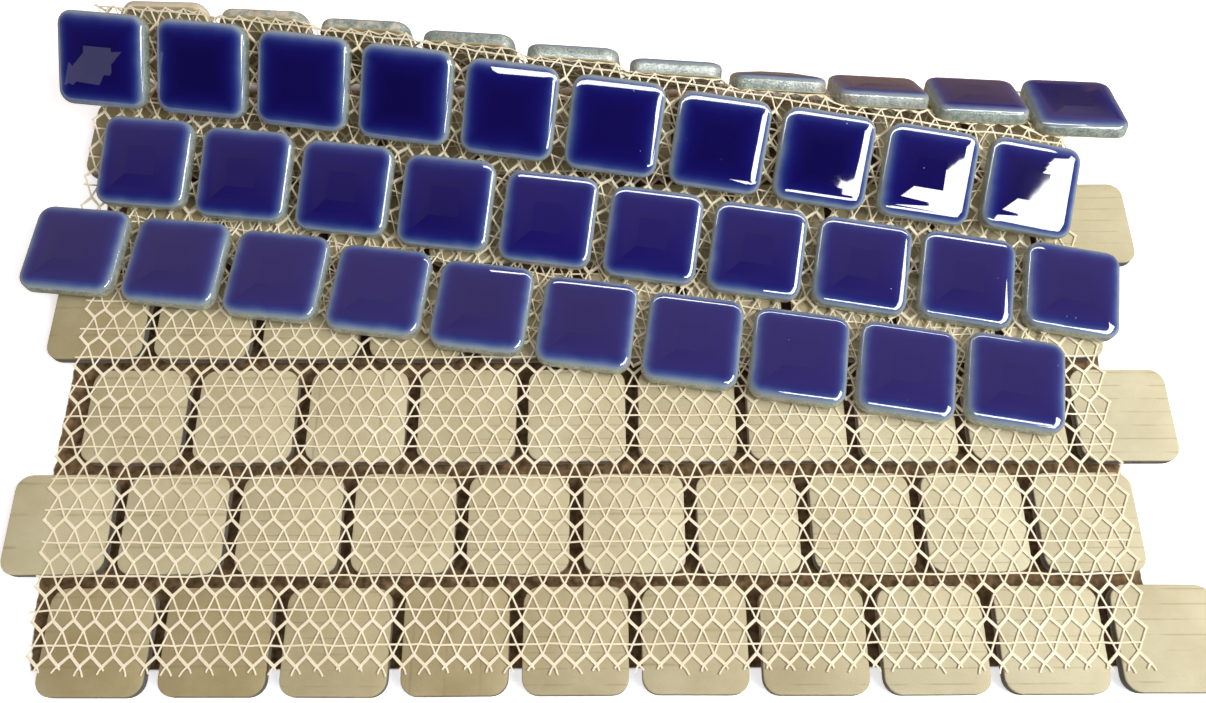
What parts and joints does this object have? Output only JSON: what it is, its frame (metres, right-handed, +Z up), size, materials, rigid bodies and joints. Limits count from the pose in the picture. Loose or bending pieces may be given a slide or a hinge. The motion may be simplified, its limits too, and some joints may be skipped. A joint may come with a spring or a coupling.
{
  "type": "mosaic tile sheet",
  "caption": "Sheet of small square glazed ceramic tiles in brick bond on a knitted backing net, folded over on itself with its far rows lying face up on the backs of the near rows.",
  "frame": {"origin": "on the level floor, under the middle of the folded sheet's bounding box", "axes": "+X along the rows of tiles, +Y from the near row towards the fold, +Z up"},
  "size_m": [0.3062, 0.1852, 0.035],
  "materials": {
    "glazed_tile": "glossy cobalt blue glaze over a beige body, paler at the rim",
    "backing_net": "cream knitted threads stiffened with glue"
  },
  "bodies": {
    "root": {"tile_row_01": "glazed_tile", "tile_row_02": "glazed_tile", "tile_row_03": "glazed_tile", "tile_row_04": "glazed_tile", "tile_row_05": "glazed_tile", "tile_row_06": "glazed_tile", "tile_row_07": "glazed_tile", "tile_row_08": "glazed_tile", "tile_row_09": "glazed_tile", "tile_row_10": "glazed_tile", "backing_net": "backing_net"}
  },
  "joints": []
}
